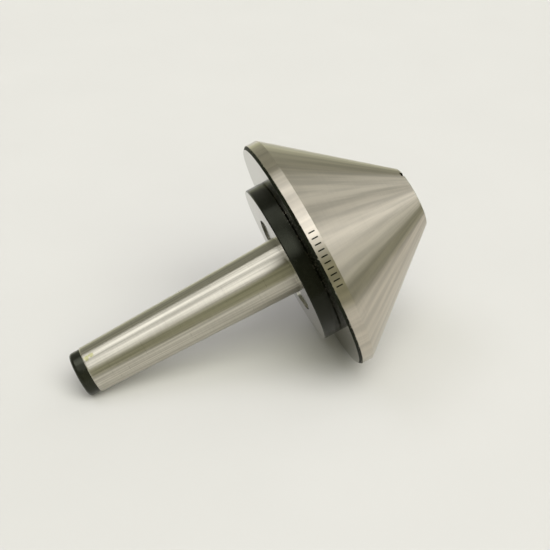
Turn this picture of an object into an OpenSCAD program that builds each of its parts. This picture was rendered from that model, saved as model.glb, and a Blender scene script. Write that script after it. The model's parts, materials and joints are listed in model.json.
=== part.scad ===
// Bull-nose live centre for a lathe tailstock, with a Morse taper 3 shank.
// A wide truncated cone turns on three bearings about a fixed tapered arbor.
// Frame: +X runs along the spindle towards the nose, +Z is up, and the origin is on
// the spindle axis at the gauge line of the Morse taper. Millimetres.

/* [Morse taper shank] */
// Diameter at the gauge line
gauge_d = 23.825; // [23.8:0.005:23.85]
// Change of diameter for each millimetre of length
taper_rate = 0.0502; // [0.0500:0.0001:0.0504]
// Length of ground taper behind the gauge line
taper_len = 80; // [70:0.5:90]
// Length of the blackened stub behind the taper
stub_len = 5; // [3:0.5:8]
// Diameter of the blackened stub
stub_d = 19; // [17:0.1:19.5]
// Radius rolled onto the end of the stub
stub_round = 1.5; // [0.5:0.1:3]
// Mouth diameter of the centre-drilled hole in the tail
centre_mouth_d = 7.5; // [5:0.5:9]
// Pilot diameter of that hole
centre_pilot_d = 2.5; // [2:0.5:4]

/* [Cone head] */
// Largest diameter of the head
head_d = 100; // [96:1:110]
// Distance from the gauge line to the head's rear face
head_rear_x = 16.3; // [15.8:0.1:18]
// Chamfer round the rear edge of the rim
rim_chamfer = 1.1; // [0.5:0.1:2]
// Width of the cylindrical rim band
rim_w = 4.7; // [3:0.1:6]
// Diameter of the flat nose, measured to the sharp corner
nose_d = 26; // [25:0.5:30]
// Distance from the gauge line to the nose face
nose_x = 68; // [68:0.5:74]
// Radius round the edge of the nose
nose_round = 0.8; // [0.3:0.1:1.2]
// Width of the two spanner notches in the nose
notch_w = 2.4; // [1.5:0.1:4]
// Depth of the notches along the spindle
notch_len = 1.5; // [1:0.1:3]
// Angle of the notches about the spindle, from -Y towards +Z
notch_angle = 82; // [0:1:180]

/* [Rear retaining nut] */
// Outer diameter of the blackened nut
nut_d = 68; // [66:1:80]
// Diameter of the bore that shows the arbor's shoulder
nut_bore_d = 41; // [40.4:0.1:44]
// Distance from the gauge line to the nut's ground rear face
nut_rear_x = 9; // [8:0.5:9.5]
// Diameter of the threaded spigot
nut_thread_d = 62; // [59:1:64]
// Length of the threaded spigot
nut_thread_len = 4.2; // [4:0.1:5]
// Diameter of the blind hook-spanner hole in the rim
hook_hole_d = 5; // [4:0.5:6]
// Angle of that hole about the spindle, from -Y towards +Z
hook_angle = 215; // [0:1:359]
// Edge chamfers of the nut
nut_chamfer = 0.4; // [0.2:0.1:0.8]

/* [Arbor inside the head] */
// Diameter of the shoulder behind the rear bearing
shoulder_d = 40; // [38:0.5:40]
// Depth of the shoulder's face inside the nut's rear face
shoulder_inset = 0.8; // [0.3:0.1:1.5]
// Diameter of the plain neck inside the thrust bearing
neck_d = 24; // [22:0.5:24.5]
// Diameter of the shoulder behind the front bearing
front_shoulder_d = 16; // [14.5:0.5:16.5]
// Width of the lock washer's keyway
keyway_w = 4.2; // [3:0.1:5]
// Depth of the keyway
keyway_h = 2; // [1.5:0.1:2.2]

/* [Rear ball bearing 30 x 55 x 13] */
// Bore diameter
rear_id = 30; // [30:1:30]
// Outer diameter
rear_od = 55; // [55:1:55]
// Width
rear_w = 13; // [13:1:13]
// Ball diameter
rear_ball_d = 7.144; // [6.5:0.01:7.2]
// Number of balls
rear_balls = 11; // [8:1:12]

/* [Thrust ball bearing 25 x 42 x 11] */
// Bore diameter
thrust_id = 25; // [25:1:25]
// Outer diameter
thrust_od = 42; // [42:1:42]
// Thickness of the whole bearing
thrust_h = 11; // [11:1:11]
// Thickness of each washer
thrust_washer_h = 3.5; // [3.3:0.1:3.6]
// Ball diameter
thrust_ball_d = 6; // [5.8:0.1:6.2]
// Number of balls
thrust_balls = 14; // [10:1:15]

/* [Front ball bearing 12 x 28 x 8] */
// Bore diameter
front_id = 12; // [12:1:12]
// Outer diameter
front_od = 28; // [28:1:28]
// Width
front_w = 8; // [8:1:8]
// Ball diameter
front_ball_d = 4.762; // [4.5:0.01:4.8]
// Number of balls
front_balls = 8; // [6:1:9]

/* [Small parts] */
// Thickness of the lock washer
lock_washer_t = 1.2; // [1:0.1:1.3]
// Outer diameter of the spindle lock nut
lock_nut_d = 43; // [42:0.5:45]
// Width of the spindle lock nut
lock_nut_w = 5.2; // [5:0.1:5.2]
// Thickness of the circlip
circlip_t = 1; // [0.9:0.1:1]
// Thickness of the preload washer
preload_t = 0.6; // [0.4:0.1:0.8]
// Diameter of the threaded nose plug
plug_d = 18; // [18:0.5:19]
// Length of the nose plug
plug_len = 4.7; // [4:0.1:4.7]
// Size of the plug's hexagon socket across its flats
plug_hex = 8; // [6:1:10]

/* [Hidden] */

$fn = 96;
eps = 0.01;        // overshoot of a cutter past the face that it opens
arc_steps = 6;     // straight steps in a rounded turned edge
ball_play = 0.03;  // gap between a ball and its raceway
pocket_play = 0.1; // gap between a ball and its cage pocket

// Where the pieces sit along the spindle, from the tail to the nose
tail_x = -taper_len - stub_len;
shoulder_x = nut_rear_x + shoulder_inset;
rear_x = head_rear_x + nut_thread_len;
lock_washer_x = rear_x + rear_w;
lock_nut_x = lock_washer_x + lock_washer_t;
thrust_gap = 0.3;   // the lock nut stops this far short of the thrust bearing
thrust_x = lock_nut_x + lock_nut_w + thrust_gap;
thrust_end_x = thrust_x + thrust_h;
neck_end_x = thrust_end_x - thrust_gap;
front_step = 1.3;   // web between the thrust bearing and the front bearing
front_x = thrust_end_x + front_step;
circlip_x = front_x + front_w;
circlip_slack = 0.1;
circlip_groove_h = 0.25;
tip_len = 1;        // arbor left beyond the circlip groove
shank_end_x = circlip_x + circlip_t + circlip_slack + tip_len;
preload_end_x = circlip_x + preload_t;
plug_recess = 0.3;
seal_x = nut_rear_x + 3.2;
seal_w = 3;
plug_x = nose_x - plug_recess - plug_len;

// Radii worked out from the bearings
rear_pitch_r = (rear_id + rear_od) / 4;
rear_inner_r = 19.1;    // shoulder of the rear bearing's inner ring
rear_outer_r = 23.55;   // land of the rear bearing's outer ring
thrust_pitch_r = (thrust_id + thrust_od) / 4;
front_pitch_r = (front_id + front_od) / 4;
front_inner_r = 8.5;
front_outer_r = 11.5;
ring_chamfer = 0.5;
seal_r = 23.5;
seal_play = 0.05;
lock_nut_room_r = 24;   // hollow in the head and in the nut, round the lock nut and the seal

function taper_r(x) = (gauge_d + taper_rate * x) / 2;

// Points of an arc in the (x, r) plane, swept from angle a0 to angle a1
function arc(x, r, radius, a0, a1) = [
    for (i = [0:arc_steps])
        let (a = a0 + (a1 - a0) * i / arc_steps)
        [x + radius * cos(a), r + radius * sin(a)]
];

// A solid turned about the spindle from its half section, given as [x, r] points
module turned(section) {
    rotate([0, 90, 0])
        rotate_extrude()
            polygon([for (p = section) [p[1], p[0]]]);
}

// A plain ring between two radii, with small chamfers on its outer edges
module ring(x, width, r_in, r_out, chamfer = 0) {
    turned([
        [x, r_in], [x, r_out - chamfer], [x + chamfer, r_out],
        [x + width - chamfer, r_out], [x + width, r_out - chamfer], [x + width, r_in]
    ]);
}

// Turns its children about the spindle to an angle from -Y towards +Z
module at_angle(a) {
    rotate([-a, 0, 0]) children();
}

// A circular groove of round section about the spindle
module raceway(x, pitch_r, ball_d) {
    translate([x, 0, 0])
        rotate([0, 90, 0])
            rotate_extrude()
                translate([pitch_r, 0])
                    circle(d = ball_d + 2 * ball_play, $fn = 48);
}

// Balls spaced evenly on a pitch circle
module balls(x, pitch_r, ball_d, count) {
    for (i = [0:count - 1])
        at_angle(360 * i / count)
            translate([x, -pitch_r, 0])
                sphere(d = ball_d, $fn = 48);
}

// A cage ring of a deep-groove bearing, with a pocket drilled radially for each ball
module radial_cage(x, half_w, r_in, r_out, ball_d, count) {
    difference() {
        ring(x - half_w, 2 * half_w, r_in, r_out);
        for (i = [0:count - 1])
            at_angle(360 * i / count)
                translate([x, -r_out - 1, 0])
                    rotate([-90, 0, 0])
                        cylinder(d = ball_d + 2 * pocket_play, h = r_out - r_in + 2, $fn = 48);
    }
}

// A cage plate of a thrust bearing, with a pocket drilled along the spindle for each ball
module axial_cage(x, half_w, r_in, r_out, pitch_r, ball_d, count) {
    difference() {
        ring(x - half_w, 2 * half_w, r_in, r_out);
        for (i = [0:count - 1])
            at_angle(360 * i / count)
                translate([x - half_w - 1, -pitch_r, 0])
                    rotate([0, 90, 0])
                        cylinder(d = ball_d + 2 * pocket_play, h = 2 * half_w + 2, $fn = 48);
    }
}

// Two thin shields just inside the faces of a ball bearing
module shields(x, width, r_in, r_out, thickness, inset) {
    running_gap = 0.2;
    for (side_x = [x + inset, x + width - inset - thickness])
        ring(side_x, thickness, r_in + running_gap, r_out);
}

module shank() {
    taper_edge = 0.4;   // chamfer where the taper meets the stub
    pilot_len = 3;
    centre_cone_len = (centre_mouth_d - centre_pilot_d) / 2 / tan(30);
    thrust_r = thrust_id / 2;
    seat_end_x = thrust_x + thrust_washer_h;
    journal_r = front_id / 2;
    groove_r = journal_r - circlip_groove_h;
    groove_end_x = circlip_x + circlip_t + circlip_slack;
    tip_chamfer = 0.5;
    color([0.78, 0.77, 0.74])
    difference() {
        turned(concat(
            [
                [tail_x + centre_cone_len + pilot_len, 0],
                [tail_x + centre_cone_len + pilot_len, centre_pilot_d / 2],
                [tail_x + centre_cone_len, centre_pilot_d / 2],
                [tail_x, centre_mouth_d / 2]
            ],
            arc(tail_x + stub_round, stub_d / 2 - stub_round, stub_round, 180, 90),
            [
                [-taper_len, stub_d / 2],
                [-taper_len, taper_r(-taper_len) - taper_edge / 2],
                [-taper_len + taper_edge, taper_r(-taper_len + taper_edge)],
                [shoulder_x, taper_r(shoulder_x)],
                [shoulder_x, shoulder_d / 2],
                [rear_x, shoulder_d / 2],
                [rear_x, rear_id / 2],
                [thrust_x, rear_id / 2],
                [thrust_x, thrust_r],
                [seat_end_x, thrust_r],
                [seat_end_x, neck_d / 2],
                [neck_end_x, neck_d / 2],
                [neck_end_x, front_shoulder_d / 2],
                [front_x, front_shoulder_d / 2],
                [front_x, journal_r],
                [circlip_x, journal_r],
                [circlip_x, groove_r],
                [groove_end_x, groove_r],
                [groove_end_x, journal_r],
                [shank_end_x - tip_chamfer, journal_r],
                [shank_end_x, journal_r - tip_chamfer],
                [shank_end_x, 0]
            ]
        ));
        // Keyway through the spindle thread, for the lock washer's inner tab
        at_angle(90)
            translate([lock_washer_x, -rear_id / 2 - 1, -keyway_w / 2])
                cube([thrust_x - lock_washer_x + eps, keyway_h + 1, keyway_w]);
    }
}

module cone_head() {
    rim_r = head_d / 2;
    nose_r = nose_d / 2;
    rim_end_x = head_rear_x + rim_chamfer + rim_w;
    slope = atan((rim_r - nose_r) / (nose_x - rim_end_x));
    thread_relief = 0.5;
    thrust_seat_len = thrust_washer_h + 1.2;
    thrust_seat_x = thrust_end_x - thrust_seat_len;
    notch_inset = 1.5;  // wall left between the plug's thread and a notch
    // Centre of the rounded nose edge, tangent to the cone and to the flat nose
    round_x = nose_x - nose_round;
    round_r = nose_r - nose_round * tan((90 - slope) / 2);
    color([0.72, 0.71, 0.67])
    difference() {
        turned(concat(
            [
                [head_rear_x, nut_thread_d / 2],
                [head_rear_x, rim_r - rim_chamfer],
                [head_rear_x + rim_chamfer, rim_r],
                [rim_end_x, rim_r]
            ],
            arc(round_x, round_r, nose_round, 90 - slope, 0),
            [
                [nose_x, plug_d / 2],
                [preload_end_x, plug_d / 2],
                [preload_end_x, front_od / 2],
                [thrust_end_x, front_od / 2],
                [thrust_end_x, thrust_od / 2],
                [thrust_seat_x, thrust_od / 2],
                [thrust_seat_x, lock_nut_room_r],
                [lock_washer_x, lock_nut_room_r],
                [lock_washer_x, rear_od / 2],
                [rear_x + thread_relief, rear_od / 2],
                [rear_x + thread_relief, nut_thread_d / 2]
            ]
        ));
        for (side = [0, 180])
            at_angle(notch_angle + side)
                translate([nose_x - notch_len, -nose_r - 1, -notch_w / 2])
                    cube([notch_len + eps, nose_r + 1 - plug_d / 2 - notch_inset, notch_w]);
    }
}

module rear_retaining_nut() {
    nut_r = nut_d / 2;
    spigot_r = nut_thread_d / 2;
    face_relief_x = rear_x - 0.8;
    hole_depth = 5;
    color([0.13, 0.13, 0.12])
    difference() {
        turned([
            [nut_rear_x, nut_bore_d / 2],
            [nut_rear_x, nut_r - nut_chamfer],
            [nut_rear_x + nut_chamfer, nut_r],
            [head_rear_x - nut_chamfer, nut_r],
            [head_rear_x, nut_r - nut_chamfer],
            [head_rear_x, spigot_r],
            [rear_x, spigot_r],
            [rear_x, lock_nut_room_r],
            [face_relief_x, lock_nut_room_r],
            [face_relief_x, nut_bore_d / 2],
            [seal_x + seal_w, nut_bore_d / 2],
            [seal_x + seal_w, seal_r],
            [seal_x, seal_r],
            [seal_x, nut_bore_d / 2]
        ]);
        at_angle(hook_angle)
            translate([(nut_rear_x + head_rear_x) / 2, -nut_r - eps, 0])
                rotate([-90, 0, 0])
                    cylinder(d = hook_hole_d, h = hole_depth + eps, $fn = 48);
    }
}

module dust_seal() {
    color([0.25, 0.24, 0.22])
        ring(seal_x, seal_w, shoulder_d / 2 + seal_play, seal_r);
}

module inner_ring(x, width, r_in, r_out, pitch_r, ball_d) {
    difference() {
        ring(x, width, r_in, r_out);
        raceway(x + width / 2, pitch_r, ball_d);
    }
}

module outer_ring(x, width, r_in, r_out, pitch_r, ball_d) {
    difference() {
        ring(x, width, r_in, r_out, ring_chamfer);
        raceway(x + width / 2, pitch_r, ball_d);
    }
}

module rear_bearing_inner_ring() {
    color([0.80, 0.80, 0.82])
        inner_ring(rear_x, rear_w, rear_id / 2, rear_inner_r, rear_pitch_r, rear_ball_d);
}

module rear_bearing_outer_ring() {
    color([0.76, 0.76, 0.78])
        outer_ring(rear_x, rear_w, rear_outer_r, rear_od / 2, rear_pitch_r, rear_ball_d);
}

module rear_bearing_balls() {
    color([0.88, 0.88, 0.90])
        balls(rear_x + rear_w / 2, rear_pitch_r, rear_ball_d, rear_balls);
}

module rear_bearing_cage() {
    half_w = 4.4;
    cage_r_in = 19.9;
    cage_r_out = 22.6;
    color([0.80, 0.64, 0.32])
        radial_cage(rear_x + rear_w / 2, half_w, cage_r_in, cage_r_out, rear_ball_d,
                    rear_balls);
}

module rear_bearing_shields() {
    thickness = 0.4;
    inset = 0.3;
    color([0.60, 0.60, 0.62])
        shields(rear_x, rear_w, rear_inner_r, rear_outer_r, thickness, inset);
}

module spindle_lock_washer() {
    washer_r = 20.5;
    tab_w = 4;
    tab_t = 1.2;
    inner_tab_h = 1.8;
    outer_tab_len = 4;
    color([0.55, 0.56, 0.58])
    union() {
        ring(lock_washer_x, lock_washer_t, rear_id / 2, washer_r);
        at_angle(90)
            translate([lock_washer_x, -rear_id / 2 - 0.5, -tab_w / 2])
                cube([lock_washer_t, inner_tab_h + 0.5, tab_w]);
        // One outer tab is bent forwards into a slot of the lock nut
        translate([lock_washer_x, -washer_r - tab_t / 2, -tab_w / 2])
            cube([outer_tab_len, tab_t, tab_w]);
    }
}

module spindle_lock_nut() {
    slot_w = 5;
    slot_h = 2;
    edge_chamfer = 0.6;
    color([0.35, 0.35, 0.36])
    difference() {
        ring(lock_nut_x, lock_nut_w, rear_id / 2, lock_nut_d / 2, edge_chamfer);
        for (i = [0:3])
            at_angle(90 * i)
                translate([lock_nut_x - eps, -lock_nut_d / 2 - 1, -slot_w / 2])
                    cube([lock_nut_w + 2 * eps, slot_h + 1, slot_w]);
    }
}

module thrust_shaft_washer() {
    outer_play = 0.2;
    color([0.80, 0.80, 0.82])
    difference() {
        ring(thrust_x, thrust_washer_h, thrust_id / 2, thrust_od / 2 - outer_play,
             ring_chamfer);
        raceway(thrust_x + thrust_h / 2, thrust_pitch_r, thrust_ball_d);
    }
}

module thrust_housing_washer() {
    bore_play = 0.5;
    color([0.76, 0.76, 0.78])
    difference() {
        ring(thrust_end_x - thrust_washer_h, thrust_washer_h, thrust_id / 2 + bore_play,
             thrust_od / 2, ring_chamfer);
        raceway(thrust_x + thrust_h / 2, thrust_pitch_r, thrust_ball_d);
    }
}

module thrust_bearing_balls() {
    color([0.88, 0.88, 0.90])
        balls(thrust_x + thrust_h / 2, thrust_pitch_r, thrust_ball_d, thrust_balls);
}

module thrust_bearing_cage() {
    half_w = 1.7;
    cage_r_in = 13;
    cage_r_out = 20.5;
    color([0.80, 0.64, 0.32])
        axial_cage(thrust_x + thrust_h / 2, half_w, cage_r_in, cage_r_out, thrust_pitch_r,
                   thrust_ball_d, thrust_balls);
}

module front_bearing_inner_ring() {
    color([0.80, 0.80, 0.82])
        inner_ring(front_x, front_w, front_id / 2, front_inner_r, front_pitch_r,
                   front_ball_d);
}

module front_bearing_outer_ring() {
    color([0.76, 0.76, 0.78])
        outer_ring(front_x, front_w, front_outer_r, front_od / 2, front_pitch_r,
                   front_ball_d);
}

module front_bearing_balls() {
    color([0.88, 0.88, 0.90])
        balls(front_x + front_w / 2, front_pitch_r, front_ball_d, front_balls);
}

module front_bearing_cage() {
    half_w = 3;
    cage_r_in = 8.9;
    cage_r_out = 11.1;
    color([0.80, 0.64, 0.32])
        radial_cage(front_x + front_w / 2, half_w, cage_r_in, cage_r_out, front_ball_d,
                    front_balls);
}

module front_bearing_shields() {
    thickness = 0.3;
    inset = 0.25;
    color([0.60, 0.60, 0.62])
        shields(front_x, front_w, front_inner_r, front_outer_r, thickness, inset);
}

module front_circlip() {
    clip_r_in = front_id / 2 - circlip_groove_h;
    clip_r_out = 7.8;
    lug_pitch_r = 7.5;
    lug_d = 2.2;
    lug_hole_d = 1;
    lug_angle = 13;
    gap_w = 1.6;
    color([0.45, 0.45, 0.46])
    difference() {
        union() {
            ring(circlip_x, circlip_t, clip_r_in, clip_r_out);
            for (side = [-1, 1])
                at_angle(270 + side * lug_angle)
                    translate([circlip_x, -lug_pitch_r, 0])
                        rotate([0, 90, 0])
                            cylinder(d = lug_d, h = circlip_t, $fn = 32);
        }
        at_angle(270)
            translate([circlip_x - eps, -clip_r_out - 2, -gap_w / 2])
                cube([circlip_t + 2 * eps, clip_r_out, gap_w]);
        for (side = [-1, 1])
            at_angle(270 + side * lug_angle)
                translate([circlip_x - eps, -lug_pitch_r, 0])
                    rotate([0, 90, 0])
                        cylinder(d = lug_hole_d, h = circlip_t + 2 * eps, $fn = 24);
    }
}

module front_preload_washer() {
    washer_r_in = 10.6;
    outer_play = 0.1;
    color([0.62, 0.62, 0.60])
        ring(circlip_x, preload_t, washer_r_in, front_od / 2 - outer_play);
}

module nose_plug() {
    socket_depth = 3.2;
    edge_chamfer = 0.3;
    color([0.20, 0.20, 0.19])
    difference() {
        ring(plug_x, plug_len, 0, plug_d / 2, edge_chamfer);
        translate([plug_x + plug_len - socket_depth, 0, 0])
            rotate([0, 90, 0])
                cylinder(d = plug_hex / cos(30), h = socket_depth + eps, $fn = 6);
    }
}

shank();
cone_head();
rear_retaining_nut();
dust_seal();
rear_bearing_inner_ring();
rear_bearing_outer_ring();
rear_bearing_balls();
rear_bearing_cage();
rear_bearing_shields();
spindle_lock_washer();
spindle_lock_nut();
thrust_shaft_washer();
thrust_housing_washer();
thrust_bearing_balls();
thrust_bearing_cage();
front_bearing_inner_ring();
front_bearing_outer_ring();
front_bearing_balls();
front_bearing_cage();
front_bearing_shields();
front_circlip();
front_preload_washer();
nose_plug();
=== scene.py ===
"""Looks, stage, light and camera of the bull-nose live centre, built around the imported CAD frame.

Metres, in the row frame: +X runs along the spindle towards the nose, and the origin is at the
gauge line of the Morse taper. Angles about the spindle go from -Y towards +Z.
"""
import json
import math

import bmesh
import bpy
import numpy as np
from mathutils import Matrix, Vector


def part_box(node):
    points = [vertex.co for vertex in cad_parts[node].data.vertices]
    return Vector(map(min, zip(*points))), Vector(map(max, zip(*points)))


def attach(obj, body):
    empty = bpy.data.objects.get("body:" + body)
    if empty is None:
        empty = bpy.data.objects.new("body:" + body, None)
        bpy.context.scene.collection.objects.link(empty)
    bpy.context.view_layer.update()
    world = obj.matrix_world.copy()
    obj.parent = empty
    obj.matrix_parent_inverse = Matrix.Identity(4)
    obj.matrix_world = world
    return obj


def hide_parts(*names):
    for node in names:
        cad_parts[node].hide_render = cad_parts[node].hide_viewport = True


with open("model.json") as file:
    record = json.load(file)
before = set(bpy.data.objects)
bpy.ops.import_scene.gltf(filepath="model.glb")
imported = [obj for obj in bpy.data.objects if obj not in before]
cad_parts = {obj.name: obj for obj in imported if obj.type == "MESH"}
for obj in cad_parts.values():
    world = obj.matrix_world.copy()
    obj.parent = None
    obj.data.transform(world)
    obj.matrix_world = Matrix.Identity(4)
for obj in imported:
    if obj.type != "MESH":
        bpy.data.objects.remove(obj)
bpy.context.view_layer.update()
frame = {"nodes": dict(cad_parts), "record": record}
MM = 0.001

# ---------------------------------------------------------------- dimensions from the frame
HEAD_REAR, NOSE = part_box("cone_head")[0].x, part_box("cone_head")[1].x
RIM_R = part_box("cone_head")[1].y
NUT_REAR, NUT_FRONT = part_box("rear_retaining_nut")[0].x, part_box("rear_retaining_nut")[1].x
NUT_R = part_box("rear_retaining_nut")[1].y
TAIL, SHANK_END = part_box("shank")[0].x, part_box("shank")[1].x
SHOULDER_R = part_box("shank")[1].y
PLUG_REAR, PLUG_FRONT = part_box("nose_plug")[0].x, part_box("nose_plug")[1].x
PLUG_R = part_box("nose_plug")[1].y
REAR_BEARING, REAR_BEARING_END = (corner.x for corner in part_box("rear_bearing_inner_ring"))
THRUST, THRUST_SEAT_END = (corner.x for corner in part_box("thrust_shaft_washer"))
THRUST_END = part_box("thrust_housing_washer")[1].x
FRONT_BEARING, FRONT_BEARING_END = (corner.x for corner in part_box("front_bearing_inner_ring"))
PRELOAD_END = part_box("front_preload_washer")[1].x
CIRCLIP_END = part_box("front_circlip")[1].x
REAR_BEARING_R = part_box("rear_bearing_outer_ring")[1].y
THRUST_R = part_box("thrust_housing_washer")[1].y
FRONT_BEARING_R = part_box("front_bearing_outer_ring")[1].y

# ---------------------------------------------------------------- dimensions of the turned parts
GAUGE_R = 11.9125 * MM
TAPER_RATE = 0.0251           # change of radius for each metre of length
STUB_LEN = 5 * MM
STUB_R = 9.5 * MM
STUB_ROUND = 1.5 * MM
CENTRE_MOUTH_R = 3.75 * MM    # of the centre hole in the tail
CENTRE_PILOT_R = 1.25 * MM
CENTRE_HALF_ANGLE = math.radians(30)
CENTRE_CONE_LEN = (CENTRE_MOUTH_R - CENTRE_PILOT_R) / math.tan(CENTRE_HALF_ANGLE)
CENTRE_PILOT_LEN = 3 * MM
SHOULDER_INSET = 0.8 * MM
RIM_CHAMFER = 1.1 * MM
RIM_W = 4.7 * MM
NOSE_R = 13 * MM
NOSE_ROUND = 0.8 * MM
NUT_BORE_R = 20.5 * MM
NUT_THREAD_R = 31 * MM
NUT_CHAMFER = 0.4 * MM
SEAL_R = 23.5 * MM
NUT_ROOM_R = 24 * MM
NOTCH_W = 2.4 * MM
NOTCH_LEN = 1.5 * MM
NOTCH_INSET = 1.5 * MM
NOTCH_ANGLE = 82
MARK_W = 0.55 * MM            # engraved strokes on the rim, a plain stand-in for the size code
MARK_LEN = 2.6 * MM
MARK_DEPTH = 0.15 * MM
MARK_FROM, MARK_TO = 16.5, 42.5
MARK_COUNT = 10
HOOK_ANGLE = 215
HOOK_R = 2.5 * MM
HOOK_DEPTH = 5 * MM
TAPER_EDGE = 0.4 * MM         # length of the break at the taper's small end
REAR_SEAT_R = 15 * MM         # the arbor's seats and necks inside the head, from the rear
THRUST_SEAT_R = 12.5 * MM
NECK_R = 12 * MM
FRONT_NECK_R = 8 * MM
FRONT_SEAT_R = 6 * MM
CIRCLIP_GROOVE_R = 5.75 * MM
CIRCLIP_ROOM = 0.1 * MM
NECK_GAP = 0.3 * MM           # from the neck's end forward to the thrust bearing's front
ARBOR_END_CHAMFER = 0.5 * MM
KEYWAY_W = 4.2 * MM
KEYWAY_R = (13 * MM, 16 * MM)    # the cut's floor, and past the seat that it cuts
THRUST_SEAT_LEN = 4.7 * MM    # of the thrust bearing's seat in the cone
THREAD_RUN_ON = 0.5 * MM      # of the cone's thread past the rear bearing's rear face
NUT_RELIEF = 0.8 * MM
PLUG_ROUND = 0.3 * MM
SOCKET_DEPTH = 3.2 * MM
SOCKET_FLAT_R = 4 * MM        # half the hexagon's width across flats
CRISP = 0.12 * MM             # break on an edge that is meant to look sharp
TURNED_STEPS = 288            # steps round a turned part
ROUND_STEPS, CRISP_STEPS = 6, 3    # steps of a rounded corner
ROUND_FROM = 0.3 * MM         # a larger rounding than this one has the higher number of steps
SAME_WAY = 0.97               # least cosine between a face and the run that it lies on
ON_RUN = 0.03 * MM            # greatest distance between them
ON_AXIS = 1e-7                # a smaller radius than this is on the spindle
NO_TURN = 1e-6                # two directions closer than this are the same

# ---------------------------------------------------------------- the resting attitude
# The tool lies on its rim and on the rolled edge of its tail.
RIM_CONTACT = Vector((HEAD_REAR + RIM_CHAMFER, 0, -RIM_R))
TAIL_CONTACT_CENTRE = Vector((TAIL + STUB_ROUND, 0, -(STUB_R - STUB_ROUND)))
SPAN = RIM_CONTACT - TAIL_CONTACT_CENTRE
TILT = math.acos(STUB_ROUND / math.hypot(SPAN.x, SPAN.z)) - math.atan2(SPAN.x, -SPAN.z)
TABLE_UP = Vector((math.sin(TILT), 0, math.cos(TILT)))
TABLE_ALONG = Vector((math.cos(TILT), 0, -math.sin(TILT)))
TABLE_ACROSS = TABLE_UP.cross(TABLE_ALONG)


def table_direction(azimuth, elevation):
    """A unit vector seen from the table: azimuth from the spindle's heading, elevation above it."""
    a, e = math.radians(azimuth), math.radians(elevation)
    level = TABLE_ALONG * math.cos(a) + TABLE_ACROSS * math.sin(a)
    return level * math.cos(e) + TABLE_UP * math.sin(e)


# ---------------------------------------------------------------- shader helpers
def new_tree(name):
    """A material with an empty node tree, and its tree."""
    material = bpy.data.materials.new(name)
    material.use_nodes = True
    material.node_tree.nodes.clear()
    return material, material.node_tree


def add(tree, kind, inputs=None, **settings):
    """A node with its settings and inputs, where an input may be a value or another socket."""
    node = tree.nodes.new(kind)
    for key, value in settings.items():
        setattr(node, key, value)
    for key, value in (inputs or {}).items():
        socket = node.inputs[key]
        if isinstance(value, bpy.types.NodeSocket):
            tree.links.new(value, socket)
        else:
            socket.default_value = value
    return node


def math_node(tree, operation, *values, clamp=False):
    return add(tree, "ShaderNodeMath", dict(enumerate(values)), operation=operation,
               use_clamp=clamp).outputs[0]


def remap(tree, value, low, high, out_low, out_high, smooth=False):
    """The value moved from one range to another and held inside it."""
    kind = "SMOOTHSTEP" if smooth else "LINEAR"
    return add(tree, "ShaderNodeMapRange",
               {"Value": value, "From Min": low, "From Max": high, "To Min": out_low,
                "To Max": out_high}, interpolation_type=kind, clamp=True).outputs[0]


def mix_colour(tree, factor, a, b):
    """Colour a where the factor is 0 and b where it is 1."""
    node = add(tree, "ShaderNodeMix", data_type="RGBA")
    for index, value in ((0, factor), (6, a), (7, b)):
        if isinstance(value, bpy.types.NodeSocket):
            tree.links.new(value, node.inputs[index])
        else:
            node.inputs[index].default_value = value
    return node.outputs[2]


def mix_over_noise(tree, noise, low, high, dark, light):
    """Two plain colours mixed by a noise, from its value low to its value high."""
    return mix_colour(tree, remap(tree, noise, low, high, 0, 1), rgb(*dark), rgb(*light))


def rgb(r, g, b):
    return (r, g, b, 1.0)


def weighted_sum(tree, *parts):
    """The sum of sockets, each given with its weight."""
    total = None
    for socket, weight in parts:
        part = math_node(tree, "MULTIPLY", socket, weight)
        total = part if total is None else math_node(tree, "ADD", total, part)
    return total


def radius_socket(tree, place):
    """Distance from the spindle."""
    _, y, z = add(tree, "ShaderNodeSeparateXYZ", {"Vector": place}).outputs
    squares = [math_node(tree, "MULTIPLY", part, part) for part in (y, z)]
    return math_node(tree, "SQRT", math_node(tree, "ADD", *squares))


def lathe_coordinates(tree):
    """Sockets for a part turned about X: position along the section, and a point on the unit circle."""
    place = add(tree, "ShaderNodeTexCoord").outputs["Object"]
    x, y, z = add(tree, "ShaderNodeSeparateXYZ", {"Vector": place}).outputs
    radius = radius_socket(tree, place)
    safe = math_node(tree, "MAXIMUM", radius, 1e-5)
    along = math_node(tree, "SUBTRACT", x, radius)
    return place, along, math_node(tree, "DIVIDE", y, safe), math_node(tree, "DIVIDE", z, safe)


def lay_noise(tree, coordinates, pitch, wander, detail=2.0):
    """Noise drawn out round the spindle, as a cutting edge or a grinding wheel leaves it."""
    _, along, cos_y, sin_z = coordinates
    vector = add(tree, "ShaderNodeCombineXYZ",
                 {"X": math_node(tree, "DIVIDE", along, pitch),
                  "Y": math_node(tree, "MULTIPLY", cos_y, wander),
                  "Z": math_node(tree, "MULTIPLY", sin_z, wander)}).outputs[0]
    return add(tree, "ShaderNodeTexNoise", {"Vector": vector, "Scale": 1.0, "Detail": detail}
               ).outputs["Fac"]


def streak_noise(tree, coordinates, count):
    """Noise that changes round the spindle and hardly at all along the section."""
    _, along, cos_y, sin_z = coordinates
    vector = add(tree, "ShaderNodeCombineXYZ",
                 {"X": math_node(tree, "DIVIDE", along, STREAK_LEN),
                  "Y": math_node(tree, "MULTIPLY", cos_y, count),
                  "Z": math_node(tree, "MULTIPLY", sin_z, count)}).outputs[0]
    return add(tree, "ShaderNodeTexNoise", {"Vector": vector, "Scale": 1.0, "Detail": 2.0}
               ).outputs["Fac"]


def fine_noise(tree, place, size, detail=3.0):
    """Noise whose coarsest blotches are about the size given."""
    return add(tree, "ShaderNodeTexNoise",
               {"Vector": place, "Scale": 1 / size, "Detail": detail}).outputs["Fac"]


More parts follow.
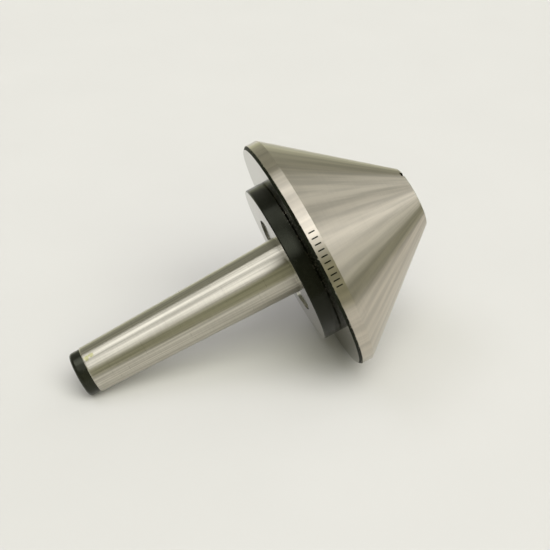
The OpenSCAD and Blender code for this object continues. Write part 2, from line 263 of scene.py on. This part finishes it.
# ---------------------------------------------------------------- materials
OXIDE_TINT = (0.96, 1.0, 0.76)     # of the blackened steel's highlights
BARE_STEEL = (0.42, 0.40, 0.35)    # in its chips
CHIP_REACH = 0.7 * MM              # how far in from the edge they go
STREAK_LEN = 60 * MM


def ground_steel(name, colour, shade, roughness, anisotropy, pitch, bump, streak_count,
                 stain=None):
    """Steel with a fine lay round the spindle, so that reflections draw out along the section.

    Its tone changes between colour and shade, mostly in streaks along the section. A stain is
    given as its spots, their size and their colour."""
    material, tree = new_tree(name)
    coordinates = lathe_coordinates(tree)
    place = coordinates[0]
    lay = lay_noise(tree, coordinates, pitch, 2.5)
    broad = lay_noise(tree, coordinates, pitch * 14, 1.2)
    streaks = streak_noise(tree, coordinates, streak_count)
    tone = weighted_sum(tree, (lay, 0.15), (broad, 0.1), (streaks, 0.75))
    base = mix_over_noise(tree, tone, 0.4, 0.6, shade, colour)
    if stain:
        spots, size, stain_colour = stain
        for spot in spots:
            offset = add(tree, "ShaderNodeVectorMath", {0: place, 1: tuple(spot)},
                         operation="DISTANCE").outputs["Value"]
            ragged = math_node(tree, "ADD", offset, math_node(
                tree, "MULTIPLY", fine_noise(tree, place, size / 2), size * 1.4))
            base = mix_colour(tree, remap(tree, ragged, size * 1.1, size * 1.7, 0.7, 0, True),
                              base, rgb(*stain_colour))
    rough = remap(tree, weighted_sum(tree, (broad, 0.6), (lay, 0.4)),
                  0.3, 0.7, roughness * 0.9, roughness * 1.1)
    tangent = add(tree, "ShaderNodeTangent", direction_type="RADIAL", axis="X").outputs[0]
    normal = add(tree, "ShaderNodeBump", {"Strength": 1.0, "Distance": bump, "Height": lay}
                 ).outputs[0]
    shader = add(tree, "ShaderNodeBsdfPrincipled",
                 {"Base Color": base, "Metallic": 1.0, "Roughness": rough,
                  "Anisotropic": anisotropy, "Anisotropic Rotation": 0.25,
                  "Tangent": tangent, "Normal": normal})
    add(tree, "ShaderNodeOutputMaterial", {"Surface": shader.outputs[0]})
    return material


def black_oxide(name, colour=(0.0030, 0.0032, 0.0025), roughness=0.2, ior=1.28, worn_r=None):
    """Blackened steel: a dark satin skin, faintly mottled, with the turned lay just showing.

    Small chips of bare steel show close to the radius worn_r, if it is given."""
    material, tree = new_tree(name)
    coordinates = lathe_coordinates(tree)
    lay = lay_noise(tree, coordinates, 0.05 * MM, 2.0)
    mottle = fine_noise(tree, coordinates[0], 1.6 * MM, 5.0)
    cloud = fine_noise(tree, coordinates[0], 9 * MM, 2.0)
    patch = weighted_sum(tree, (mottle, 0.45), (cloud, 0.55))
    lighter = tuple(2.4 * c for c in colour)
    base = mix_over_noise(tree, patch, 0.35, 0.65, colour, lighter)
    rough = remap(tree, patch, 0.3, 0.7, roughness * 0.85, roughness * 1.25)
    inputs = {"Metallic": 0.0, "IOR": ior}
    if worn_r:
        radius = radius_socket(tree, coordinates[0])
        inside = math_node(tree, "SUBTRACT", worn_r, radius)
        chips = fine_noise(tree, coordinates[0], 0.6 * MM, 3.0)
        reach = remap(tree, chips, 0.56, 0.76, 0, CHIP_REACH)
        worn = math_node(tree, "GREATER_THAN", reach, inside)
        base = mix_colour(tree, worn, base, rgb(*BARE_STEEL))
        inputs["Metallic"] = worn
    normal = add(tree, "ShaderNodeBump",
                 {"Strength": 1.0, "Distance": 0.0012 * MM, "Height": lay}).outputs[0]
    inputs.update({"Base Color": base, "Roughness": rough, "Normal": normal,
                   "Specular Tint": rgb(*OXIDE_TINT)})
    shader = add(tree, "ShaderNodeBsdfPrincipled", inputs)
    add(tree, "ShaderNodeOutputMaterial", {"Surface": shader.outputs[0]})
    return material


def machined_metal(name, colour, roughness, grain=0.4 * MM, spread=0.15):
    """A plain machined or lapped metal for the pieces inside, with a fine mottle."""
    material, tree = new_tree(name)
    place = add(tree, "ShaderNodeTexCoord").outputs["Object"]
    mottle = fine_noise(tree, place, grain, 4.0)
    darker = tuple(c * (1 - spread) for c in colour)
    base = mix_over_noise(tree, mottle, 0.3, 0.7, darker, colour)
    rough = remap(tree, mottle, 0.3, 0.7, roughness * 0.8, roughness * 1.2)
    shader = add(tree, "ShaderNodeBsdfPrincipled",
                 {"Base Color": base, "Metallic": 1.0, "Roughness": rough})
    add(tree, "ShaderNodeOutputMaterial", {"Surface": shader.outputs[0]})
    return material


def felt(name):
    """Oiled felt: matt, grey and fibrous."""
    material, tree = new_tree(name)
    place = add(tree, "ShaderNodeTexCoord").outputs["Object"]
    fibre = fine_noise(tree, place, 0.15 * MM, 6.0)
    base = mix_over_noise(tree, fibre, 0.3, 0.7, (0.16, 0.15, 0.12), (0.30, 0.28, 0.23))
    normal = add(tree, "ShaderNodeBump", {"Strength": 1.0, "Distance": 0.05 * MM,
                                          "Height": fibre}).outputs[0]
    shader = add(tree, "ShaderNodeBsdfPrincipled",
                 {"Base Color": base, "Roughness": 0.95, "Sheen Weight": 0.3, "Normal": normal})
    add(tree, "ShaderNodeOutputMaterial", {"Surface": shader.outputs[0]})
    return material


# ---------------------------------------------------------------- turned solids
def along_x(x, radius, angle):
    """The point at a radius from the spindle, at an angle from -Y towards +Z."""
    a = math.radians(angle)
    return Vector((x, -radius * math.cos(a), radius * math.sin(a)))


def section_runs(corners):
    """Straight and rounded runs of a half section.

    Each corner is (x, r, rounding, finish of the edge that leaves it). A run is two (x, r) points,
    the surface's normals there, and its finish."""
    count = len(corners)
    points = [np.array(c[:2], float) for c in corners]
    closed = points[0][1] > 0
    edges = count if closed else count - 1
    normals = []
    for i in range(edges):
        step = points[(i + 1) % count] - points[i]
        normals.append(np.array([-step[1], step[0]]) / np.linalg.norm(step))
    runs, starts, ends = [], {}, {}
    for i in range(count):
        rounding = corners[i][2]
        inner = closed or 0 < i < count - 1
        if not inner or rounding <= 0:
            starts[i] = ends[i] = points[i]
            continue
        before, after = normals[(i - 1) % edges], normals[i % edges]
        turn = math.acos(max(-1.0, min(1.0, float(before @ after))))
        cut = rounding * math.tan(turn / 2)
        ahead = np.array([after[1], -after[0]])
        back = np.array([before[1], -before[0]])
        starts[i], ends[i] = points[i] + ahead * cut, points[i] - back * cut
    for i in range(edges):
        if not np.allclose(starts[i], ends[i]):
            before, after = normals[(i - 1) % edges], normals[i]
            outward = 1 if before[0] * after[1] - before[1] * after[0] < 0 else -1
            centre = ends[i] - outward * before * corners[i][2]
            steps = ROUND_STEPS if corners[i][2] > ROUND_FROM else CRISP_STEPS
            for k in range(steps):
                pair = []
                for t in (k / steps, (k + 1) / steps):
                    blend = slerp(before, after, t)
                    pair.append((centre + outward * blend * corners[i][2], blend))
                runs.append((pair[0][0], pair[1][0], pair[0][1], pair[1][1], corners[i][3]))
        j = (i + 1) % count
        runs.append((starts[i], ends[j], normals[i], normals[i], corners[i][3]))
    return runs


def slerp(a, b, t):
    """The unit vector at a share t of the turn from a to b."""
    turn = math.acos(max(-1.0, min(1.0, float(a @ b))))
    if turn < NO_TURN:
        return a
    return (math.sin((1 - t) * turn) * a + math.sin(t * turn) * b) / math.sin(turn)


def box_cutter(name, boxes):
    """One mesh of boxes. Each is (low x, high x, low r, high r, width across, angle)."""
    mesh = bmesh.new()
    for x0, x1, r0, r1, width, angle in boxes:
        out, side = along_x(0, 1, angle), along_x(0, 1, angle + 90)
        made = bmesh.ops.create_cube(mesh, size=1)["verts"]
        for vert in made:
            x = (x0 + x1) / 2 + vert.co.x * (x1 - x0)
            r = (r0 + r1) / 2 + vert.co.y * (r1 - r0)
            vert.co = Vector((x, 0, 0)) + out * r + side * (vert.co.z * width)
    bmesh.ops.recalc_face_normals(mesh, faces=mesh.faces)
    return mesh_object(name, mesh)


def round_cutter(name, x, r0, r1, radius, angle, steps=48):
    """A drill that goes in towards the spindle."""
    mesh = bmesh.new()
    out = along_x(0, 1, angle)
    turn = Vector((0, 0, 1)).rotation_difference(out).to_matrix().to_4x4()
    place = Matrix.Translation(Vector((x, 0, 0)) + out * (r0 + r1) / 2) @ turn
    bmesh.ops.create_cone(mesh, cap_ends=True, segments=steps, radius1=radius, radius2=radius,
                          depth=r1 - r0, matrix=place)
    return mesh_object(name, mesh)


def prism_cutter(name, x0, x1, radius, sides):
    """A straight socket along the spindle, such as a hexagon."""
    mesh = bmesh.new()
    turn = Matrix.Rotation(math.radians(90), 4, "Y")
    bmesh.ops.create_cone(mesh, cap_ends=True, segments=sides, radius1=radius, radius2=radius,
                          depth=x1 - x0, matrix=Matrix.Translation(((x0 + x1) / 2, 0, 0)) @ turn)
    return mesh_object(name, mesh)


def mesh_object(name, mesh):
    data = bpy.data.meshes.new(name)
    mesh.to_mesh(data)
    mesh.free()
    obj = bpy.data.objects.new(name, data)
    bpy.context.scene.collection.objects.link(obj)
    return obj


def turned(name, corners, finishes, cutters=(), cut_finish=None, steps=TURNED_STEPS):
    """A solid turned about X from its half section, cut by the cutters, with exact normals."""
    runs = section_runs(corners)
    outline = [runs[0][0]] + [run[1] for run in runs]
    closed = np.allclose(outline[0], outline[-1])
    if closed:
        outline.pop()
    mesh = bmesh.new()
    rings = []
    for x, r in outline:
        if r < ON_AXIS:
            rings.append([mesh.verts.new((x, 0, 0))] * steps)
        else:
            rings.append([mesh.verts.new(along_x(x, r, 360 * k / steps)) for k in range(steps)])
    for i, run in enumerate(runs):
        a, b = rings[i], rings[(i + 1) % len(rings)]
        for k in range(steps):
            j = (k + 1) % steps
            loop = []
            for vert in (a[k], a[j], b[j], b[k]):
                if vert not in loop:
                    loop.append(vert)
            if len(loop) > 2:
                mesh.faces.new(loop)
    obj = mesh_object(name, mesh)
    for cutter in cutters:
        tool = obj.modifiers.new("cut", "BOOLEAN")
        tool.object, tool.operation, tool.solver = cutter, "DIFFERENCE", "EXACT"
    if cutters:
        view = bpy.context.evaluated_depsgraph_get()
        cut = bpy.data.meshes.new_from_object(obj.evaluated_get(view))
        obj.modifiers.clear()
        obj.data = cut
        for cutter in cutters:
            bpy.data.objects.remove(cutter)
    dress(obj, runs, finishes, cut_finish)
    return obj


def dress(obj, runs, finishes, cut_finish):
    """Gives each face the finish and the exact normals of the run that it lies on."""
    data = obj.data
    names = list(finishes)
    data.materials.clear()
    for key in names:
        data.materials.append(finishes[key])
    starts = np.array([run[0] for run in runs])
    spans = np.array([run[1] for run in runs]) - starts
    first = np.array([run[2] for run in runs])
    last = np.array([run[3] for run in runs])
    middle = first + last
    middle /= np.linalg.norm(middle, axis=1)[:, None]
    length2 = (spans ** 2).sum(1)
    normals = np.zeros((len(data.loops), 3))
    for face in data.polygons:
        c, n = face.center, face.normal
        radius = math.hypot(c.y, c.z)
        place = np.array([c.x, radius])
        radial = (n.y * c.y + n.z * c.z) / max(radius, 1e-9)
        facing = middle @ np.array([n.x, radial])
        t = np.clip(((place - starts) * spans).sum(1) / length2, 0, 1)
        gap = np.linalg.norm(starts + spans * t[:, None] - place, axis=1)
        gap[facing < SAME_WAY] = 1.0
        best = int(gap.argmin())
        on_run = gap[best] < ON_RUN
        key = runs[best][4] if on_run else cut_finish
        face.material_index = names.index(key)
        for index in face.loop_indices:
            v = data.vertices[data.loops[index].vertex_index].co
            r = math.hypot(v.y, v.z)
            if not on_run or r < ON_AXIS:
                normals[index] = n
                continue
            s = ((np.array([v.x, r]) - starts[best]) @ spans[best]) / length2[best]
            s = min(1.0, max(0.0, float(s)))
            along, outward = first[best] * (1 - s) + last[best] * s
            normals[index] = (along, outward * v.y / r, outward * v.z / r)
    data.polygons.foreach_set("use_smooth", [True] * len(data.polygons))
    data.normals_split_custom_set([tuple(v) for v in normals])
    data.update()


# ---------------------------------------------------------------- finishes
# Two spots that run together, on the taper near its small end.
STAIN_SPOTS = (along_x(-78.3 * MM, 9.95 * MM, 64), along_x(-76.2 * MM, 10.0 * MM, 66))
FINISHES = {
    "ground": ground_steel("ground_taper", colour=(0.57, 0.542, 0.468),
                           shade=(0.41, 0.386, 0.332), roughness=0.30, anisotropy=0.9,
                           pitch=0.06 * MM, bump=0.0004 * MM, streak_count=14,
                           stain=(STAIN_SPOTS, 1.4 * MM, (0.36, 0.355, 0.13))),
    "turned": ground_steel("ground_cone", colour=(0.575, 0.525, 0.445),
                           shade=(0.455, 0.417, 0.355), roughness=0.34, anisotropy=0.9,
                           pitch=0.08 * MM, bump=0.0006 * MM, streak_count=16),
    "faced": ground_steel("faced_steel", colour=(0.355, 0.345, 0.303),
                          shade=(0.31, 0.30, 0.263), roughness=0.14, anisotropy=0.5,
                          pitch=0.12 * MM, bump=0.0003 * MM, streak_count=12),
    "black": black_oxide("black_oxide"),
    "worn_black": black_oxide("worn_black_oxide", (0.0055, 0.0062, 0.0042), roughness=0.4,
                              ior=1.1, worn_r=RIM_R),
    "worn_edge": black_oxide("worn_nut_edge", worn_r=NUT_R),
    "tail_black": black_oxide("tail_black_oxide", (0.0045, 0.0047, 0.0035), ior=1.36),
    # Near-black finish of the cut faces: dark print in the engraved rim marks, and painted shade in the
    # nose notches.
    "engraved_and_notch_shade": black_oxide("mark_black_and_notch_shade", (0.006, 0.006, 0.005), roughness=0.6, ior=1.2),
}


def finishes(*names):
    """The finishes that one piece uses."""
    return {name: FINISHES[name] for name in names}


def taper_r(x):
    """Radius of the Morse taper."""
    return GAUGE_R + TAPER_RATE * x


# ---------------------------------------------------------------- the visible turned pieces
def build_arbor():
    taper_end = TAIL + STUB_LEN
    shoulder_x = NUT_REAR + SHOULDER_INSET
    corners = [
        (TAIL + CENTRE_CONE_LEN + CENTRE_PILOT_LEN, 0, 0, "tail_black"),
        (TAIL + CENTRE_CONE_LEN + CENTRE_PILOT_LEN, CENTRE_PILOT_R, 0, "tail_black"),
        (TAIL + CENTRE_CONE_LEN, CENTRE_PILOT_R, 0, "tail_black"),
        (TAIL, CENTRE_MOUTH_R, CRISP, "tail_black"),
        (TAIL, STUB_R, STUB_ROUND, "tail_black"),
        (taper_end, STUB_R, 0, "tail_black"),
        (taper_end, taper_r(taper_end) - TAPER_EDGE / 2, 0, "ground"),
        (taper_end + TAPER_EDGE, taper_r(taper_end + TAPER_EDGE), 0, "ground"),
        (shoulder_x, taper_r(shoulder_x), 0, "faced"),
        (shoulder_x, SHOULDER_R, CRISP, "ground"),
        (REAR_BEARING, SHOULDER_R, 0, "ground"),
        (REAR_BEARING, REAR_SEAT_R, 0, "ground"),
        (THRUST, REAR_SEAT_R, 0, "ground"),
        (THRUST, THRUST_SEAT_R, 0, "ground"),
        (THRUST_SEAT_END, THRUST_SEAT_R, 0, "ground"),
        (THRUST_SEAT_END, NECK_R, 0, "ground"),
        (THRUST_END - NECK_GAP, NECK_R, 0, "ground"),
        (THRUST_END - NECK_GAP, FRONT_NECK_R, 0, "ground"),
        (FRONT_BEARING, FRONT_NECK_R, 0, "ground"),
        (FRONT_BEARING, FRONT_SEAT_R, 0, "ground"),
        (FRONT_BEARING_END, FRONT_SEAT_R, 0, "ground"),
        (FRONT_BEARING_END, CIRCLIP_GROOVE_R, 0, "ground"),
        (CIRCLIP_END + CIRCLIP_ROOM, CIRCLIP_GROOVE_R, 0, "ground"),
        (CIRCLIP_END + CIRCLIP_ROOM, FRONT_SEAT_R, 0, "ground"),
        (SHANK_END - ARBOR_END_CHAMFER, FRONT_SEAT_R, 0, "ground"),
        (SHANK_END, FRONT_SEAT_R - ARBOR_END_CHAMFER, 0, "faced"),
        (SHANK_END, 0, 0, "faced"),
    ]
    keyway = box_cutter("keyway", [(REAR_BEARING_END, THRUST + CRISP, *KEYWAY_R, KEYWAY_W, 90)])
    arbor = turned("arbor", corners, finishes("ground", "faced", "tail_black"), [keyway], "ground")
    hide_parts("shank")
    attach(arbor, "arbor")
    return arbor


def build_cone():
    rim_start = HEAD_REAR + RIM_CHAMFER
    rim_end = rim_start + RIM_W
    seat_x = THRUST_END - THRUST_SEAT_LEN
    thread_end = REAR_BEARING + THREAD_RUN_ON
    corners = [
        (HEAD_REAR, NUT_THREAD_R, 0, "faced"),
        (HEAD_REAR, RIM_R - RIM_CHAMFER, 0, "worn_black"),
        (rim_start, RIM_R, 0, "turned"),
        (rim_end, RIM_R, CRISP, "turned"),
        (NOSE, NOSE_R, NOSE_ROUND, "faced"),
        (NOSE, PLUG_R, CRISP, "black"),
        (PRELOAD_END, PLUG_R, 0, "black"),
        (PRELOAD_END, FRONT_BEARING_R, 0, "ground"),
        (THRUST_END, FRONT_BEARING_R, 0, "ground"),
        (THRUST_END, THRUST_R, 0, "ground"),
        (seat_x, THRUST_R, 0, "black"),
        (seat_x, NUT_ROOM_R, 0, "black"),
        (REAR_BEARING_END, NUT_ROOM_R, 0, "ground"),
        (REAR_BEARING_END, REAR_BEARING_R, 0, "ground"),
        (thread_end, REAR_BEARING_R, 0, "black"),
        (thread_end, NUT_THREAD_R, 0, "black"),
    ]
    # The notches' cut faces take the near-black cut finish, which is painted shade in them.
    notches = box_cutter("notches", [
        (NOSE - NOTCH_LEN, NOSE + MM, PLUG_R + NOTCH_INSET, NOSE_R + MM, NOTCH_W,
         NOTCH_ANGLE + side) for side in (0, 180)])
    rim_middle = rim_start + RIM_W / 2
    marks = box_cutter("marks", [
        (rim_middle - MARK_LEN / 2, rim_middle + MARK_LEN / 2, RIM_R - MARK_DEPTH, RIM_R + MM,
         MARK_W, MARK_FROM + k * (MARK_TO - MARK_FROM) / (MARK_COUNT - 1))
        for k in range(MARK_COUNT)])
    # Faces left by the cuts are near-black: dark print in the marks, painted shade in the notches.
    cone = turned("cone", corners, finishes("turned", "faced", "black", "worn_black", "ground",
                                            "engraved_and_notch_shade"), [notches, marks], "engraved_and_notch_shade")
    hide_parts("cone_head")
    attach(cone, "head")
    return cone


def build_nut():
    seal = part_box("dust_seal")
    relief_x = NUT_FRONT - NUT_RELIEF
    corners = [
        (NUT_REAR, NUT_BORE_R, 0, "faced"),
        (NUT_REAR, NUT_R - NUT_CHAMFER, 0, "black"),
        (NUT_REAR + NUT_CHAMFER, NUT_R, CRISP, "black"),
        (HEAD_REAR - NUT_CHAMFER, NUT_R, CRISP, "worn_edge"),
        (HEAD_REAR, NUT_R - NUT_CHAMFER, 0, "black"),
        (HEAD_REAR, NUT_THREAD_R, 0, "black"),
        (NUT_FRONT, NUT_THREAD_R, 0, "black"),
        (NUT_FRONT, NUT_ROOM_R, 0, "black"),
        (relief_x, NUT_ROOM_R, 0, "black"),
        (relief_x, NUT_BORE_R, 0, "black"),
        (seal[1].x, NUT_BORE_R, 0, "black"),
        (seal[1].x, SEAL_R, 0, "black"),
        (seal[0].x, SEAL_R, 0, "black"),
        (seal[0].x, NUT_BORE_R, 0, "faced"),
    ]
    hook = round_cutter("hook_hole", (NUT_REAR + HEAD_REAR) / 2, NUT_R - HOOK_DEPTH,
                        NUT_R + 2 * MM, HOOK_R, HOOK_ANGLE)
    nut = turned("retaining_nut", corners, finishes("black", "worn_edge", "faced"), [hook], "black")
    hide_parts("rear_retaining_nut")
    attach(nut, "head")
    return nut


def build_plug():
    corners = [
        (PLUG_REAR, 0, 0, "black"),
        (PLUG_REAR, PLUG_R, PLUG_ROUND, "black"),
        (PLUG_FRONT, PLUG_R, PLUG_ROUND, "black"),
        (PLUG_FRONT, 0, 0, "black"),
    ]
    corner_r = SOCKET_FLAT_R / math.cos(math.radians(30))
    hexagon = prism_cutter("hexagon", PLUG_FRONT - SOCKET_DEPTH, PLUG_FRONT + MM, corner_r, 6)
    plug = turned("plug", corners, finishes("black"), [hexagon], "black")
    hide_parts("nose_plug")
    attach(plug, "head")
    return plug


def dress_hidden_nodes():
    """Materials of the CAD pieces inside the head, which keep their own meshes."""
    ring = machined_metal("bearing_ring_steel", (0.58, 0.58, 0.59), 0.22)
    looks = {
        "bearing_steel": ring,
        "ball_steel": machined_metal("lapped_ball_steel", (0.72, 0.72, 0.73), 0.06, spread=0.04),
        "cage_brass": machined_metal("cage_brass", (0.62, 0.42, 0.16), 0.34, spread=0.2),
        "shield_steel": machined_metal("pressed_shield_steel", (0.50, 0.50, 0.51), 0.38),
        "fastener_steel": machined_metal("oiled_fastener_steel", (0.22, 0.22, 0.22), 0.42),
        "spring_steel": machined_metal("phosphated_spring_steel", (0.12, 0.12, 0.125), 0.5),
        "felt": felt("oiled_felt"),
    }
    shown = {"shank", "cone_head", "rear_retaining_nut", "nose_plug"}
    for entry in frame["record"]["subparts"]:
        if entry["node"] in shown:
            continue
        node = frame["nodes"][entry["node"]]
        node.data.materials.clear()
        node.data.materials.append(looks[entry["material_slot"]])


# ---------------------------------------------------------------- stage, light and camera
TABLE_COLOUR = (0.572, 0.556, 0.590)
TABLE_FRONT = 150 * MM        # from the tool to the table's edge on the camera's side
TABLE_BEHIND = 900 * MM
TABLE_SIDE = 235 * MM
SKY_COLOUR = (0.82, 0.80, 0.76)    # what the camera sees past the table
ROOM_COLOUR = (0.350, 0.353, 0.290)       # behind the tool and above it
NEAR_ROOM_COLOUR = (0.160, 0.161, 0.125)  # on the camera's side, high up
FRONT_COLOUR = (0.360, 0.357, 0.240)      # on the camera's side, low down
BACKDROP_COLOUR = (0.84, 0.855, 0.61)     # behind the tool, low down
# Panels of light: the axis each one faces, its limits along the other two axes for a plane one
# unit away, and its strength. Most of these numbers came out of a least-squares fit to the tones
# of the reference picture, by another program, and a few were changed by hand afterwards. The
# room's tones above and the fill lamp's direction started from such a fit too.
PANELS = {
    "overhead_left": (("up", "front", "right"), (-0.434, 0.264), (-0.816, -0.359), 1.84),
    "overhead_front": (("up", "front", "right"), (0.237, 1.18), (-0.148, 1.324), 2.06),
    "overhead_wide": (("up", "front", "right"), (-0.154, 0.935), (-0.698, 0.529), 1.04),
    "right_low": (("right", "up", "front"), (0.04, 0.60), (-0.813, 0.005), 1.10),
    "right_back": (("right", "up", "front"), (-0.301, 0.98), (-2.057, -0.896), 1.10),
    "left_low": (("left", "up", "front"), (0.154, 0.621), (0.287, 0.541), 0.80),
}
PANEL_COLOUR = (1.01, 1.015, 1.03)
PANEL_EDGE = 0.05             # half the width of a panel's soft edge
EDGE_ON = 0.02                # a ray closer than this to a panel's plane misses it
# Where one part of the room gives way to the next, as the part of a ray's unit direction that
# points to the front, or up.
REAR_TO_NEAR = (-0.4, 0.2)    # front
LOW_FRONT = (0.2, 0.8)        # front
LOW_FRONT_TOP = (0.4, 0.7)    # up
BACKDROP_EDGE = (-0.6, -0.2)  # front
BACKDROP_TOP = (-0.02, 0.18)  # up
FILL_COLOUR = (0.98, 1.01, 0.73)
FILL_STRENGTH = 2.2           # watts for each square metre
FILL_SPREAD = 60              # degrees across, as seen from the table
FILL_TURN, FILL_ELEVATION = 15, 46    # degrees to the camera's right, and above the table
# The camera was fitted by another program to the object's outlines in the reference picture.
CAMERA_TARGET = Vector((3.67, -0.99, -1.37)) * MM
CAMERA_DISTANCE = 495.45 * MM
CAMERA_AZIMUTH = -108.89
CAMERA_ELEVATION = 31.13
CAMERA_LENS = 79.7


def build_table():
    """A plain pale table that the tool lies on. It can't be seen from underneath."""
    toward, across = table_direction(CAMERA_AZIMUTH, 0), table_direction(CAMERA_AZIMUTH + 90, 0)
    mesh = bmesh.new()
    corners = [(-TABLE_BEHIND, -TABLE_SIDE), (TABLE_FRONT, -TABLE_SIDE),
               (TABLE_FRONT, TABLE_SIDE), (-TABLE_BEHIND, TABLE_SIDE)]
    mesh.faces.new([mesh.verts.new((a, b, 0)) for a, b in corners])
    table = mesh_object("table", mesh)
    turn = Matrix((toward, across, TABLE_UP)).transposed().to_4x4()
    table.matrix_world = Matrix.Translation(RIM_CONTACT) @ turn
    material, tree = new_tree("table_top")
    place = add(tree, "ShaderNodeTexCoord").outputs["Object"]
    mottle = fine_noise(tree, place, 60 * MM, 2.0)
    darker = tuple(c * 0.985 for c in TABLE_COLOUR)
    base = mix_over_noise(tree, mottle, 0.3, 0.7, darker, TABLE_COLOUR)
    surface = add(tree, "ShaderNodeBsdfPrincipled", {"Base Color": base, "Roughness": 0.8,
                                                     "Specular IOR Level": 0.2})
    clear = add(tree, "ShaderNodeBsdfTransparent")
    under = add(tree, "ShaderNodeNewGeometry").outputs["Backfacing"]
    both = add(tree, "ShaderNodeMixShader", {0: under, 1: surface.outputs[0],
                                             2: clear.outputs[0]})
    add(tree, "ShaderNodeOutputMaterial", {"Surface": both.outputs[0]})
    table.data.materials.append(material)


def panel(tree, facing, first, second, level, sideways):
    """A soft-edged rectangle of light on a plane across the facing axis, as a mask."""
    depth = math_node(tree, "MAXIMUM", facing, EDGE_ON)
    mask = math_node(tree, "GREATER_THAN", facing, EDGE_ON)
    for part, limits in ((first, level), (second, sideways)):
        slope = math_node(tree, "DIVIDE", part, depth)
        rise = remap(tree, slope, limits[0] - PANEL_EDGE, limits[0] + PANEL_EDGE, 0, 1, True)
        fall = remap(tree, slope, limits[1] - PANEL_EDGE, limits[1] + PANEL_EDGE, 1, 0, True)
        mask = math_node(tree, "MULTIPLY", mask, math_node(tree, "MULTIPLY", rise, fall))
    return mask


def build_light():
    """Soft panels overhead and at the sides of a dim room, as at a product table."""
    world = bpy.data.worlds.new("studio")
    bpy.context.scene.world = world
    world.use_nodes = True
    tree = world.node_tree
    tree.nodes.clear()
    ray = add(tree, "ShaderNodeTexCoord").outputs["Generated"]
    ways = {"up": TABLE_UP, "front": table_direction(CAMERA_AZIMUTH, 0),
            "right": table_direction(CAMERA_AZIMUTH + 90, 0),
            "left": table_direction(CAMERA_AZIMUTH - 90, 0)}
    parts = {way: add(tree, "ShaderNodeVectorMath", {0: ray, 1: tuple(direction)},
                      operation="DOT_PRODUCT").outputs["Value"]
             for way, direction in ways.items()}
    up, front = parts["up"], parts["front"]

    rear_half = remap(tree, front, *REAR_TO_NEAR, 1, 0, True)
    near_low = math_node(tree, "MULTIPLY", remap(tree, front, *LOW_FRONT, 0, 1, True),
                         remap(tree, up, *LOW_FRONT_TOP, 1, 0, True))
    backdrop = math_node(tree, "MULTIPLY", remap(tree, front, *BACKDROP_EDGE, 1, 0, True),
                         remap(tree, up, *BACKDROP_TOP, 1, 0, True))
    colour = mix_colour(tree, rear_half, rgb(*NEAR_ROOM_COLOUR), rgb(*ROOM_COLOUR))
    colour = mix_colour(tree, near_low, colour, rgb(*FRONT_COLOUR))
    colour = mix_colour(tree, backdrop, colour, rgb(*BACKDROP_COLOUR))
    for axes, level, sideways, strength in PANELS.values():
        mask = panel(tree, *(parts[axis] for axis in axes), level, sideways)
        glow = add(tree, "ShaderNodeVectorMath",
                   {0: PANEL_COLOUR, "Scale": math_node(tree, "MULTIPLY", mask, strength)},
                   operation="SCALE").outputs["Vector"]
        colour = add(tree, "ShaderNodeVectorMath", {0: colour, 1: glow},
                     operation="ADD").outputs["Vector"]
    seen = add(tree, "ShaderNodeLightPath").outputs["Is Camera Ray"]
    colour = mix_colour(tree, seen, colour, rgb(*SKY_COLOUR))
    back = add(tree, "ShaderNodeBackground", {"Color": colour, "Strength": 1.0})
    add(tree, "ShaderNodeOutputWorld", {"Surface": back.outputs[0]})


def build_fill():
    """A broad lamp above the camera that opens the shadow and stays out of the reflections."""
    data = bpy.data.lights.new("fill", "SUN")
    data.energy, data.color, data.angle = FILL_STRENGTH, FILL_COLOUR, math.radians(FILL_SPREAD)
    lamp = bpy.data.objects.new("fill", data)
    bpy.context.scene.collection.objects.link(lamp)
    back = table_direction(CAMERA_AZIMUTH + FILL_TURN, FILL_ELEVATION)
    turn = back.to_track_quat("Z", "Y").to_matrix().to_4x4()
    lamp.matrix_world = Matrix.Translation(back) @ turn
    lamp.visible_glossy = False


def build_camera():
    data = bpy.data.cameras.new("camera")
    data.lens = CAMERA_LENS
    data.sensor_width = 36
    data.clip_start, data.clip_end = 0.01, 20
    camera = bpy.data.objects.new("camera", data)
    bpy.context.scene.collection.objects.link(camera)
    back = table_direction(CAMERA_AZIMUTH, CAMERA_ELEVATION)
    right = TABLE_UP.cross(back).normalized()
    up = back.cross(right)
    turn = Matrix((right, up, back)).transposed().to_4x4()
    camera.matrix_world = Matrix.Translation(CAMERA_TARGET + back * CAMERA_DISTANCE) @ turn
    bpy.context.scene.camera = camera


bpy.context.scene.view_settings.view_transform = "Standard"
build_arbor()
build_cone()
build_nut()
build_plug()
dress_hidden_nodes()
build_table()
build_light()
build_fill()
build_camera()
